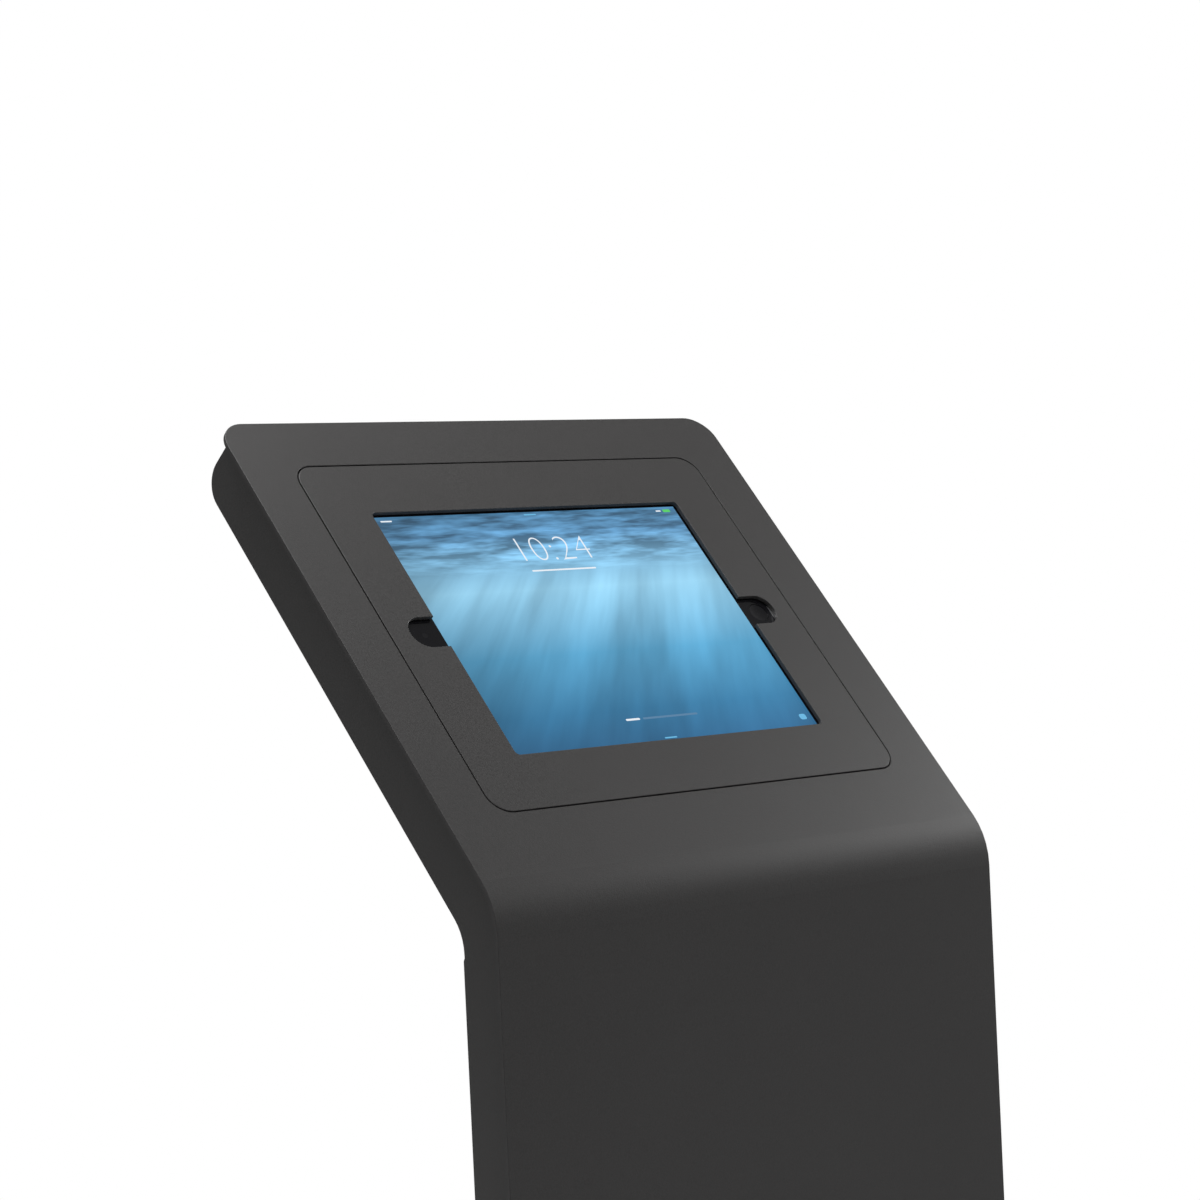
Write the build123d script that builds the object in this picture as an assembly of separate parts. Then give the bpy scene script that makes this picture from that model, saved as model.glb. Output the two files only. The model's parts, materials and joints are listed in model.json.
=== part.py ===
from build123d import *
from math import cos, radians, sin, tan
import os

# Touchscreen kiosk: a leaning sheet-steel column with a tilted head that holds a tablet behind a
# flush insert panel.  Millimetres, +Z up, front towards -Y, origin on the floor under the base plate.

os.makedirs("parts", exist_ok=True)

# ---------------------------------------------------------------- driving dimensions
# Stance
overall_height = 1100.0      # floor to the highest edge of the head
face_tilt = 45.0             # head's face, degrees from vertical
column_lean = 4.0            # column, degrees back from vertical
bend_y = -15.0               # front-to-back place of the bend line over the base plate

# Tablet
tablet_width = 240.0
tablet_height = 169.5
tablet_thickness = 7.5
tablet_corner = 10.0
tablet_gap = 0.6             # insert panel's underside to the tablet's glass
gasket_gap = 0.2             # foam gasket to the glass
case_wall = 1.5
case_floor_thickness = 1.2
glass_thickness = 1.0
glass_ledge = 2.0
display_side_border = 20.5
display_end_border = 9.75
display_thickness = 1.2
home_from_edge = 9.8
home_diameter = 11.2
home_recess = 0.25
camera_from_edge = 10.5
camera_diameter = 3.0
button_clearance = 0.2
side_button_proud = 0.4

# Insert panel with its window and notches
panel_border_side = 11.5     # panel beyond the tablet
panel_border_end = 22.25
panel_corner = 11.0
panel_gap = 0.75
window_margin = 1.0          # window beyond the display
window_corner = 2.5
notch_from_edge = 9.7        # notch's round end to the tablet's edge
notch_radius = 9.25

# Front sheet
face_side_margin = 29.5      # face beyond the insert panel
face_top_margin = 29.5
face_bottom_margin = 49.2    # insert panel to the sharp bend line
sheet = 2.0                  # thickness of the front sheet and the body's sheets
bend_radius = 38.0           # outer radius of the front bend
face_corner_radius = 15.0
edge_round = 0.35            # broken edges of the visible sheets

# Body behind the front sheet
body_inset = 7.0             # overhang of the front sheet at the sides and the top
head_depth = 34.0            # front surface to the head's rear surface
column_depth = 32.0          # front surface to the column's rear surface
top_rear_radius = 14.0
neck_radius = 24.0           # concave rear radius at the neck
front_flange = 11.0
rear_flange = 17.0
lower_strike = 12.0          # rear sheet that runs on behind the door's top edge

# Support frame and cradle behind the insert panel
frame_overlap = 9.25         # support frame beyond the sheet's opening, at the sides
frame_overlap_ends = 10.25   # the same, above and below
frame_end_clearance = 0.75
cradle_gap = 2.0             # tablet edge to the cradle's wall
cradle_wall = 1.5
cradle_rim = 25.0            # solid border of the cradle's floor round its two cut-outs
cradle_rib = 30.0
pad_thickness = 1.0
pad_width = 10.0
pad_length = 50.0
stud_radius = 2.0
nut_across_flats = 7.0
nut_thickness = 3.2
screw_radius = 1.5

# Insert panel's concealed hinge and latch
hinge_arm_from_edge = 46.5   # arm's middle to the panel's side edge
hinge_arm_thickness = 3.0
hinge_axis_above_panel = 16.5
hinge_axis_depth = 5.6
hinge_pin_radius = 1.25
running_clearance = 0.05
thread_clearance = 0.02
arm_inner_radius = 18.0
arm_band = 4.0
latch_from_edge = 9.0        # bolt's middle to the panel's lower edge
latch_depth = 11.5
latch_travel = 6.0
bolt_width = 5.0
bolt_height = 4.0

# Rear door, its hinges and lock
door_thickness = 1.2
door_side_gap = 0.2
door_top_gap = 0.5
sill_height = 66.0
door_overlap = 10.0          # door over the sill
door_hinge_radius = 3.0
door_pin_radius = 1.5
door_hinge_length = 42.0
door_hinge_from_end = 90.0
leaf_thickness = 1.2
lock_from_side = 29.0
lock_above_middle = 48.0
lock_body_radius = 8.0
lock_plug_radius = 5.5
lock_flange_radius = 10.0
cam_tip_gap = 5.0            # cam's tip to the body's outer side

# Foot
base_width = 400.0
base_depth = 360.0
base_thickness = 8.0
base_corner = 20.0
base_chamfer = 1.0
anchor_inset = 30.0
anchor_hole_radius = 5.5
foot_thickness = 4.0
foot_leg_height = 70.0
foot_screw_radius = 4.0
foot_screw_spacing = 100.0

# Column internals
brace_height = 40.0
brace_lip = 8.5
brace_thickness = 1.5
upper_brace_drop = 170.0     # bend line to the upper brace
lower_brace_rise = 147.0     # column's foot to the lower brace
supply_width = 90.0
supply_height = 34.0
supply_depth = 16.0
supply_from_side = 69.0
cable_hole_radius = 11.0

# ---------------------------------------------------------------- sizes that follow
display_width = tablet_width - 2 * display_side_border
display_height = tablet_height - 2 * display_end_border
tablet_drop = sheet + tablet_gap
window_width = display_width + 2 * window_margin
window_height = display_height + 2 * window_margin
home_centre = tablet_width / 2 - home_from_edge
camera_centre = camera_from_edge - tablet_width / 2
notch_centre = tablet_width / 2 - notch_from_edge
panel_width = tablet_width + 2 * panel_border_side
panel_height = tablet_height + 2 * panel_border_end
sheet_width = panel_width + 2 * face_side_margin
face_above_centre = panel_height / 2 + face_top_margin
face_below_centre = panel_height / 2 + face_bottom_margin
frame_inner_width = tablet_width + 2 * (cradle_gap + cradle_wall)
frame_inner_height = tablet_height + 2 * (cradle_gap + cradle_wall + frame_end_clearance)
hinge_arm_place = panel_width / 2 - hinge_arm_from_edge
latch_v = latch_from_edge - panel_height / 2
anchor_spacing_x = base_width - 2 * anchor_inset
anchor_spacing_y = base_depth - 2 * anchor_inset

# ---------------------------------------------------------------- frames of reference
bend_angle = face_tilt - column_lean
tilt = radians(face_tilt)
lean = radians(column_lean)
bend = radians(bend_angle)
bend_z = overall_height - (face_above_centre + face_below_centre) * cos(tilt)
body_half = sheet_width / 2 - body_inset
wall_inner = body_half - sheet
body_top = face_above_centre - body_inset

# Head frame: x right, y up the face, z out of the face, origin at the screen centre.
face_centre = (0, bend_y + face_below_centre * sin(tilt), bend_z + face_below_centre * cos(tilt))
head = Plane(origin=face_centre, x_dir=(1, 0, 0), z_dir=(0, -cos(tilt), sin(tilt)))
# Column frame: x right, y up the column, z out of its front, origin on the sharp bend line.
column = Plane(origin=(0, bend_y, bend_z), x_dir=(1, 0, 0), z_dir=(0, -cos(lean), sin(lean)))


def head_point(v, depth):
    """(y, z) of a point v up the face from the screen centre and depth behind its surface."""
    along = v + face_below_centre
    return (bend_y + along * sin(tilt) + depth * cos(tilt), bend_z + along * cos(tilt) - depth * sin(tilt))


def column_point(w, depth):
    """(y, z) of a point w up the column from the bend line and depth behind its surface."""
    return (bend_y + w * sin(lean) + depth * cos(lean), bend_z + w * cos(lean) - depth * sin(lean))


def column_at_height(z, depth):
    """(y, z) of the point of the column at that depth and height."""
    return column_point((z - bend_z + depth * sin(lean)) / cos(lean), depth)


def bend_w(head_offset, column_offset):
    """Place along the column where the head plane and column plane at those depths meet."""
    return (column_offset * cos(bend) - head_offset) / sin(bend)


def bend_point(head_offset, column_offset):
    return column_point(bend_w(head_offset, column_offset), column_offset)


neck_w = bend_w(head_depth, column_depth)
neck_end_w = neck_w - neck_radius * tan(bend / 2)
door_top_w = neck_end_w - door_top_gap
strike_end_w = door_top_w - lower_strike
column_foot_w = (base_thickness - bend_z) / cos(lean)
sill_top_w = column_foot_w + sill_height
door_bottom_w = sill_top_w - door_overlap
door_middle_w = (door_top_w + door_bottom_w) / 2
lower_brace_w = column_foot_w + lower_brace_rise
brace_places = (-upper_brace_drop, (lower_brace_w - upper_brace_drop) / 2, lower_brace_w)
supply_u = body_half - supply_from_side
lock_u = lock_from_side - body_half
lock_w = door_middle_w + lock_above_middle
cam_reach = lock_from_side - cam_tip_gap


# ---------------------------------------------------------------- shape helpers
past = 1.0                   # how far a cutter runs past the face it cuts


def rounded_face(points):
    """A face in the YZ plane from (y, z) or (y, z, corner radius) points."""
    corners = []
    for index, point in enumerate(points):
        corner = Vector(0, point[0], point[1])
        radius = point[2] if len(point) == 3 else 0
        before = Vector(0, *points[index - 1][:2]) - corner
        after = Vector(0, *points[(index + 1) % len(points)][:2]) - corner
        if radius == 0:
            corners.append((corner, None, corner))
            continue
        half = radians(before.get_angle(after)) / 2
        reach = radius / tan(half)
        bisector = (before.normalized() + after.normalized()).normalized()
        middle = corner + bisector * (radius / sin(half) - radius)
        corners.append((corner + before.normalized() * reach, middle, corner + after.normalized() * reach))
    edges = []
    for index, (start, middle, end) in enumerate(corners):
        if middle is not None:
            edges.append(Edge.make_three_point_arc(start, middle, end))
        edges.append(Edge.make_line(end, corners[(index + 1) % len(corners)][0]))
    return Face(Wire(edges))


def profile(points, x_from, x_to):
    """A side profile, extruded across the kiosk."""
    return Pos(x_from, 0, 0) * extrude(rounded_face(points), amount=x_to - x_from, dir=(1, 0, 0))


def box(x_from, x_to, y_from, y_to, z_from, z_to):
    size = (x_to - x_from, y_to - y_from, z_to - z_from)
    centre = Pos((x_from + x_to) / 2, (y_from + y_to) / 2, (z_from + z_to) / 2)
    return centre * Box(*size)


def plate(width, height, corner, z_from, z_to, x=0, y=0):
    """A flat plate with round corners."""
    return Pos(x, y, z_from) * extrude(RectangleRounded(width, height, corner), z_to - z_from)


def disc(x, y, z_from, z_to, radius):
    return Pos(x, y, (z_from + z_to) / 2) * Cylinder(radius, z_to - z_from)


def rod_x(x_from, x_to, y, z, radius):
    return Pos((x_from + x_to) / 2, y, z) * Rot(0, 90, 0) * Cylinder(radius, x_to - x_from)


def rod_y(x, y_from, y_to, z, radius):
    return Pos(x, (y_from + y_to) / 2, z) * Rot(90, 0, 0) * Cylinder(radius, y_to - y_from)


def hexagon(x, y, z_from, z_to, across_flats):
    return Pos(x, y, z_from) * extrude(RegularPolygon(across_flats / 2, 6, major_radius=False), z_to - z_from)


def mirrored(shape):
    """The same shape on the other side of the kiosk."""
    return mirror(shape, about=Plane.YZ)


def group(shapes):
    return Compound(children=list(shapes))


def save(shape, node):
    export_step(shape, "parts/" + node + ".step")


def save_on_head(shape, node):
    save(head.location * shape, node)


def save_on_column(shape, node):
    save(column.location * shape, node)


# ---------------------------------------------------------------- front sheet
def notch_cutter(side, z_from, z_to):
    """The slot from the window's edge to the notch's round end."""
    x_inner = side * (window_width / 2 - past)
    x_outer = side * notch_centre
    slot = box(min(x_inner, x_outer), max(x_inner, x_outer), -notch_radius, notch_radius, z_from, z_to)
    return slot + disc(side * notch_centre, 0, z_from, z_to, notch_radius)


def front_sheet():
    shape = profile(
        [
            column_at_height(base_thickness, 0),
            (*bend_point(0, 0), bend_radius),
            head_point(face_above_centre, 0),
            head_point(face_above_centre, sheet),
            (*bend_point(sheet, sheet), bend_radius - sheet),
            column_at_height(base_thickness, sheet),
        ],
        -sheet_width / 2,
        sheet_width / 2,
    )
    for side in (-1, 1):
        edge = side * sheet_width / 2
        inner = edge - side * face_corner_radius
        square = box(
            min(inner, edge + side * past),
            max(inner, edge + side * past),
            face_above_centre - face_corner_radius,
            face_above_centre + past,
            -sheet - past,
            past,
        )
        corner_y = face_above_centre - face_corner_radius
        round_part = disc(inner, corner_y, -sheet - 2 * past, 2 * past, face_corner_radius)
        shape -= head.location * (square - round_part)
    opening = plate(
        panel_width + 2 * panel_gap,
        panel_height + 2 * panel_gap,
        panel_corner + panel_gap,
        -sheet - past,
        past,
    )
    shape -= head.location * opening
    return shape


def round_front_edges(shape):
    """Break the outer edges of the front surface: the face, the bend and the column."""
    fronts = [face for face in shape.faces() if face.normal_at().Y < -0.3 and face.area > 5000]
    seen = [edge.center() for face in fronts for edge in face.edges()]
    outer = []
    for face in fronts:
        for edge in face.edges():
            shared = sum((edge.center() - point).length < 0.01 for point in seen) > 1
            if not shared and edge.center().Z > base_thickness + 1:
                outer.append(edge)
    return fillet(outer, edge_round)


save(round_front_edges(front_sheet()), "front_sheet")


# ---------------------------------------------------------------- body sheets
def body_side():
    """Right side: web, front flange behind the front sheet, and rear flange in the column."""
    web = profile(
        [
            column_at_height(base_thickness, sheet),
            (*bend_point(sheet, sheet), bend_radius - sheet),
            head_point(body_top, sheet),
            (*head_point(body_top, head_depth), top_rear_radius),
            (*bend_point(head_depth, column_depth), neck_radius),
            column_at_height(base_thickness, column_depth),
        ],
        wall_inner,
        body_half,
    )
    flange_front = profile(
        [
            column_at_height(base_thickness, sheet),
            (*bend_point(sheet, sheet), bend_radius - sheet),
            head_point(body_top - sheet, sheet),
            head_point(body_top - sheet, 2 * sheet),
            (*bend_point(2 * sheet, 2 * sheet), bend_radius - 2 * sheet),
            column_at_height(base_thickness, 2 * sheet),
        ],
        body_half - front_flange,
        wall_inner,
    )
    flange_rear = profile(
        [
            column_at_height(base_thickness, column_depth - sheet),
            column_point(strike_end_w, column_depth - sheet),
            column_point(strike_end_w, column_depth),
            column_at_height(base_thickness, column_depth),
        ],
        body_half - rear_flange,
        wall_inner,
    )
    return web + flange_front + flange_rear


def rear_sheet():
    """Top wall, head's back and neck in one bent sheet between the sides."""
    return profile(
        [
            head_point(body_top, sheet),
            (*head_point(body_top, head_depth), top_rear_radius),
            (*bend_point(head_depth, column_depth), neck_radius),
            column_point(strike_end_w, column_depth),
            column_point(strike_end_w, column_depth - sheet),
            (*bend_point(head_depth - sheet, column_depth - sheet), neck_radius + sheet),
            (*head_point(body_top - sheet, head_depth - sheet), top_rear_radius - sheet),
            head_point(body_top - sheet, sheet),
        ],
        -wall_inner,
        wall_inner,
    )


bracket_gap = 1.0            # foot bracket to the sides' front flanges
grommet_w = column_foot_w + sill_height / 2


def rear_sill():
    """Fixed plate under the door, with the cable outlet."""
    half = body_half - rear_flange
    shape = profile(
        [
            column_at_height(base_thickness, column_depth - sheet),
            column_point(sill_top_w, column_depth - sheet),
            column_point(sill_top_w, column_depth),
            column_at_height(base_thickness, column_depth),
        ],
        -half,
        half,
    )
    hole = disc(0, grommet_w, -column_depth - past, -column_depth + sheet + past, cable_hole_radius)
    return shape - column.location * hole


def cable_grommet():
    lip = 2.5
    lip_thickness = 1.6
    wall = 3.0
    z_out = -column_depth
    z_in = z_out + sheet
    ring = disc(0, grommet_w, z_out, z_in, cable_hole_radius)
    ring += disc(0, grommet_w, z_out - lip_thickness, z_out, cable_hole_radius + lip)
    ring += disc(0, grommet_w, z_in, z_in + lip_thickness, cable_hole_radius + lip)
    reach = lip_thickness + past
    return ring - disc(0, grommet_w, z_out - reach, z_in + reach, cable_hole_radius - wall)


right_side = body_side()
save(right_side, "side_right")
save(mirrored(right_side), "side_left")
save(rear_sheet(), "rear_sheet")
save(rear_sill(), "rear_sill")
save_on_column(cable_grommet(), "cable_grommet")


# ---------------------------------------------------------------- foot
foot_screw_y = column_at_height(base_thickness, (sheet + column_depth) / 2)[0]
foot_screw_places = (-foot_screw_spacing, 0, foot_screw_spacing)
screw_depth_in_base = 6.0
screw_tip_gap = 0.5          # screw's tip to the bottom of its hole
screw_hole_clearance = 0.25


def base_plate():
    shape = plate(base_width, base_depth, base_corner, 0, base_thickness)
    top_loop = shape.faces().sort_by(Axis.Z)[-1].edges()
    shape = chamfer(top_loop, base_chamfer)
    for x in (-anchor_spacing_x / 2, anchor_spacing_x / 2):
        for y in (-anchor_spacing_y / 2, anchor_spacing_y / 2):
            shape -= disc(x, y, -past, base_thickness + past, anchor_hole_radius)
    for x in foot_screw_places:
        hole_bottom = base_thickness - screw_depth_in_base
        radius = foot_screw_radius + thread_clearance
        shape -= disc(x, foot_screw_y, hole_bottom, base_thickness + past, radius)
    return shape


def foot_bracket():
    """Bent bracket that screws to the base plate and is welded behind the front sheet."""
    half = body_half - front_flange - bracket_gap
    top = base_thickness + foot_thickness
    leg_top_w = column_foot_w + foot_leg_height
    shape = profile(
        [
            column_at_height(base_thickness, sheet),
            column_at_height(base_thickness, column_depth - 2 * sheet),
            column_at_height(top, column_depth - 2 * sheet),
            (*column_at_height(top, sheet + foot_thickness), foot_thickness / 2),
            column_point(leg_top_w, sheet + foot_thickness),
            column_point(leg_top_w, sheet),
        ],
        -half,
        half,
    )
    for x in foot_screw_places:
        radius = foot_screw_radius + screw_hole_clearance
        shape -= disc(x, foot_screw_y, base_thickness - past, top + past, radius)
    return shape


def foot_screw(x):
    seat = base_thickness + foot_thickness
    head_radius = 6.5
    head_height = 8.0
    socket = 6.0
    tip = base_thickness - screw_depth_in_base + screw_tip_gap
    shape = disc(x, foot_screw_y, tip, seat, foot_screw_radius)
    shape += disc(x, foot_screw_y, seat, seat + head_height, head_radius)
    return shape - hexagon(x, foot_screw_y, seat + head_height / 2, seat + head_height + past, socket)


save(base_plate(), "base_plate")
save(foot_bracket(), "foot_bracket")
save(group(foot_screw(x) for x in foot_screw_places), "foot_screws")


# ---------------------------------------------------------------- column internals
brace_face = -2 * sheet
brace_back = brace_face - brace_thickness


def cross_brace(w):
    """Channel across the column, welded behind the sides' front flanges."""
    low = w - brace_height / 2
    high = w + brace_height / 2
    shape = box(-wall_inner, wall_inner, low, high, brace_back, brace_face)
    shape += box(-wall_inner, wall_inner, low, low + brace_thickness, brace_back - brace_lip, brace_face)
    shape += box(-wall_inner, wall_inner, high - brace_thickness, high, brace_back - brace_lip, brace_face)
    return shape


def power_supply(w):
    corner = 4.0
    half_u = supply_width / 2
    shape = box(supply_u - half_u, supply_u + half_u, w - supply_height / 2, w + supply_height / 2,
                brace_back - supply_depth, brace_back)
    return fillet(shape.edges().filter_by(Axis.Z), corner)


def supply_clip(w):
    """Hat-shaped strap that holds the power supply on the brace."""
    thickness = 1.2
    half_width = 8.0
    foot = 11.0
    inner = supply_width / 2
    outer = inner + thickness
    top = brace_back - supply_depth
    shape = box(supply_u - outer, supply_u + outer, w - half_width, w + half_width, top - thickness, top)
    for side in (-1, 1):
        leg = sorted((supply_u + side * inner, supply_u + side * outer))
        pad = sorted((supply_u + side * inner, supply_u + side * (outer + foot)))
        shape += box(*leg, w - half_width, w + half_width, top - thickness, brace_back)
        shape += box(*pad, w - half_width, w + half_width, brace_back - thickness, brace_back)
    return shape


for name, place in zip(("cross_brace_upper", "cross_brace_middle", "cross_brace_lower"), brace_places):
    save_on_column(cross_brace(place), name)
save_on_column(power_supply(brace_places[2]), "power_supply")
save_on_column(supply_clip(brace_places[2]), "power_supply_clip")


# ---------------------------------------------------------------- insert panel
hinge_axis_v = panel_height / 2 + hinge_axis_above_panel


def insert_panel():
    shape = plate(panel_width, panel_height, panel_corner, -sheet, 0)
    shape -= plate(window_width, window_height, window_corner, -sheet - past, past)
    for side in (-1, 1):
        shape -= notch_cutter(side, -sheet - past, past)
    return fillet(shape.faces().sort_by(Axis.Z)[-1].edges(), edge_round)


def panel_gasket():
    """Thin foam round the window, glued to the panel's underside and cut away at the notches."""
    thickness = tablet_gap - gasket_gap
    margin = 1.5
    outer_corner = 6.0
    inner_corner = 3.0
    width = tablet_width - 2 * (case_wall + 2.5)
    height = tablet_height - 2 * (case_wall + 1.5)
    low = -sheet - thickness - past
    high = -sheet + past
    shape = plate(width, height, outer_corner, -sheet - thickness, -sheet)
    shape -= plate(window_width + 2 * margin, window_height + 2 * margin, inner_corner, low, high)
    reach = notch_radius + margin
    return shape - box(-width, width, -reach, reach, low, high)


def panel_hinge_arm():
    """Gooseneck plate from the pivot, round the opening's edge, to the panel's underside."""
    x_from = hinge_arm_place - hinge_arm_thickness / 2
    x_to = hinge_arm_place + hinge_arm_thickness / 2
    y = hinge_axis_v
    z = -hinge_axis_depth
    outer = arm_inner_radius + arm_band
    bar = 3.5
    bar_end = 0.5            # bar's lower end above the ring's outer radius
    boss_radius = 2 * hinge_pin_radius + 0.5
    ring = rod_x(x_from, x_to, y, z, outer) - rod_x(x_from - past, x_to + past, y, z, arm_inner_radius)
    ring &= box(x_from, x_to, y - outer - past, y, z - outer - past, -sheet)
    shape = ring + box(x_from, x_to, y - bar, y, z - outer + bar_end, z - hinge_pin_radius)
    shape += rod_x(x_from, x_to, y, z, boss_radius)
    return shape - rod_x(x_from - past, x_to + past, y, z, hinge_pin_radius + running_clearance)


ear_gap = 0.25
ear_thickness = 2.0
ear_low_v = hinge_axis_v - 5.0
ear_high_v = hinge_axis_v + 3.0
ear_below_axis = 3.5
ear_toe = 5.0                # weld foot beyond the ear
ear_toe_thickness = 1.5
pin_proud = 0.4


def hinge_ear(side):
    """L-shaped ear beside one arm, on the back of the front sheet."""
    near = hinge_arm_place + side * (hinge_arm_thickness / 2 + ear_gap)
    far = near + side * ear_thickness
    toe = far + side * ear_toe
    bore = ear_thickness + past
    shape = box(*sorted((near, far)), ear_low_v, ear_high_v, -hinge_axis_depth - ear_below_axis, -sheet)
    shape += box(*sorted((near, toe)), ear_low_v, ear_high_v, -sheet - ear_toe_thickness, -sheet)
    return shape - rod_x(near - bore, near + bore, hinge_axis_v, -hinge_axis_depth, hinge_pin_radius)


def hinge_pin():
    reach = hinge_arm_thickness / 2 + ear_gap + ear_thickness + pin_proud
    return rod_x(hinge_arm_place - reach, hinge_arm_place + reach, hinge_axis_v, -hinge_axis_depth,
                 hinge_pin_radius)


def both_sides(shape):
    return [shape, mirrored(shape)]


save_on_head(insert_panel(), "insert_panel")
save_on_head(panel_gasket(), "panel_gasket")
save_on_head(group(both_sides(panel_hinge_arm())), "panel_hinge_arms")
save_on_head(group(both_sides(hinge_ear(-1)) + both_sides(hinge_ear(1))), "panel_hinge_brackets")
save_on_head(group(both_sides(hinge_pin())), "panel_hinge_pins")


# ---------------------------------------------------------------- insert panel's latch
striker_toe = 1.0
striker_half_width = 4.0
latch_clearance = 0.3
bolt_rest_gap = 1.5          # bolt's tip to the striker's toe when released
bolt_end_gap = 1.5           # bolt's tip to the striker's web when thrown
striker_thickness = 2.0
striker_foot = 1.5
striker_web_near = latch_travel - striker_toe - bolt_rest_gap + bolt_end_gap
striker_web_far = striker_web_near + striker_thickness
striker_slot_gap = 1.5       # round the striker in the support frame
slot_end_gap = 0.5           # more room at the slot's two ends


def panel_striker():
    """J-shaped striker under the panel; the bolt slides in above its toe."""
    low = latch_v - striker_half_width
    high = latch_v + striker_half_width
    toe_top = -latch_depth - bolt_height / 2 - latch_clearance
    toe_bottom = toe_top - striker_thickness
    toe_end = -striker_toe
    shape = box(striker_web_near, striker_web_far, low, high, toe_bottom, -sheet)
    shape += box(toe_end, striker_web_far, low, high, toe_bottom, toe_top)
    return shape + box(toe_end, striker_web_far, low, high, -sheet - striker_foot, -sheet)


housing_right = -striker_toe - 3.0
housing_left = housing_right - 20.0
housing_half_width = 6.0
housing_below_bolt = 4.0     # bolt's middle to the housing's rear face
slot_clearance = 0.1
bolt_tail = 4.5              # bolt left outside the housing when thrown
finger_thickness = 3.0
finger_reach = 10.0


def latch_housing():
    shape = box(housing_left, housing_right, latch_v - housing_half_width, latch_v + housing_half_width,
                -latch_depth - housing_below_bolt, -2 * sheet)
    half_y = bolt_width / 2 + slot_clearance
    half_z = bolt_height / 2 + slot_clearance
    return shape - box(housing_left - past, housing_right + past, latch_v - half_y, latch_v + half_y,
                       -latch_depth - half_z, -latch_depth + half_z)


def latch_bolt():
    tip = -striker_toe - bolt_rest_gap
    tail = housing_left - latch_travel - bolt_tail
    half_y = bolt_width / 2
    half_z = bolt_height / 2
    shape = box(tail, tip, latch_v - half_y, latch_v + half_y, -latch_depth - half_z, -latch_depth + half_z)
    finger = box(tail, tail + finger_thickness, latch_v - half_y, latch_v + half_y,
                 -latch_depth - finger_reach, -latch_depth)
    return shape + finger


save_on_head(panel_striker(), "panel_striker")
save_on_head(latch_housing(), "latch_housing")
save_on_head(latch_bolt(), "latch_bolt")


# ---------------------------------------------------------------- support frame
opening_half_width = panel_width / 2 + panel_gap
opening_half_height = panel_height / 2 + panel_gap
frame_half_width = opening_half_width + frame_overlap
frame_half_height = opening_half_height + frame_overlap_ends
stud_u = opening_half_width + frame_overlap / 2
stud_v = opening_half_height + frame_overlap_ends / 2
frame_back = -2 * sheet
side_stud_v = panel_height / 2 - 37.0
end_stud_u = panel_width / 2 - 19.5
cradle_screw_v = tablet_height / 2 - 24.75
stud_places = [(x, y) for x in (-stud_u, stud_u) for y in (-side_stud_v, side_stud_v)]
stud_places += [(x, y) for x in (-end_stud_u, 0, end_stud_u) for y in (-stud_v, stud_v)]
stud_clearance = 0.2
stud_past_nut = 1.0
arm_slot_gap = 1.0           # hinge arm to its slot in the support frame
flange_reach = 8.0           # cradle's flange beyond its side wall
cradle_half_width = tablet_width / 2 + cradle_gap + cradle_wall
cradle_half_height = tablet_height / 2 + cradle_gap + cradle_wall
cradle_screw_u = cradle_half_width + flange_reach / 2 + 0.3
cradle_screw_places = [(x, y) for x in (-cradle_screw_u, cradle_screw_u)
                       for y in (-cradle_screw_v, cradle_screw_v)]


def panel_frame():
    """Frame behind the opening that the insert panel rests on."""
    outer_corner = 8.0
    inner_corner = 3.0
    shape = plate(2 * frame_half_width, 2 * frame_half_height, outer_corner, frame_back, -sheet)
    shape -= plate(frame_inner_width, frame_inner_height, inner_corner, frame_back - past, -sheet + past)
    arm_slot = hinge_arm_thickness / 2 + arm_slot_gap
    slot_low = hinge_axis_v - arm_inner_radius - arm_band - 3 * arm_slot_gap
    for side in (-1, 1):
        x = side * hinge_arm_place
        shape -= box(x - arm_slot, x + arm_slot, slot_low, frame_half_height + past,
                     frame_back - past, -sheet + past)
    half_slot = striker_half_width + striker_slot_gap + slot_end_gap
    shape -= box(-striker_toe - striker_slot_gap, striker_web_far + striker_slot_gap, latch_v - half_slot,
                 latch_v + half_slot, frame_back - past, -sheet + past)
    for x, y in stud_places:
        shape -= disc(x, y, frame_back - past, -sheet + past, stud_radius + stud_clearance)
    for x, y in cradle_screw_places:
        shape -= disc(x, y, frame_back - past, -sheet + past, screw_radius)
    return shape


def frame_stud(x, y):
    return disc(x, y, frame_back - nut_thickness - stud_past_nut, -sheet, stud_radius)


def frame_nut(x, y):
    shape = hexagon(x, y, frame_back - nut_thickness, frame_back, nut_across_flats)
    return shape - disc(x, y, frame_back - nut_thickness - past, frame_back + past, stud_radius)


save_on_head(panel_frame(), "panel_frame")
save_on_head(group(frame_stud(x, y) for x, y in stud_places), "frame_studs")
save_on_head(group(frame_nut(x, y) for x, y in stud_places), "frame_nuts")


# ---------------------------------------------------------------- tablet cradle
tablet_back = -tablet_drop - tablet_thickness
cradle_floor = tablet_back - pad_thickness
cradle_back = cradle_floor - cradle_wall


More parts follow.
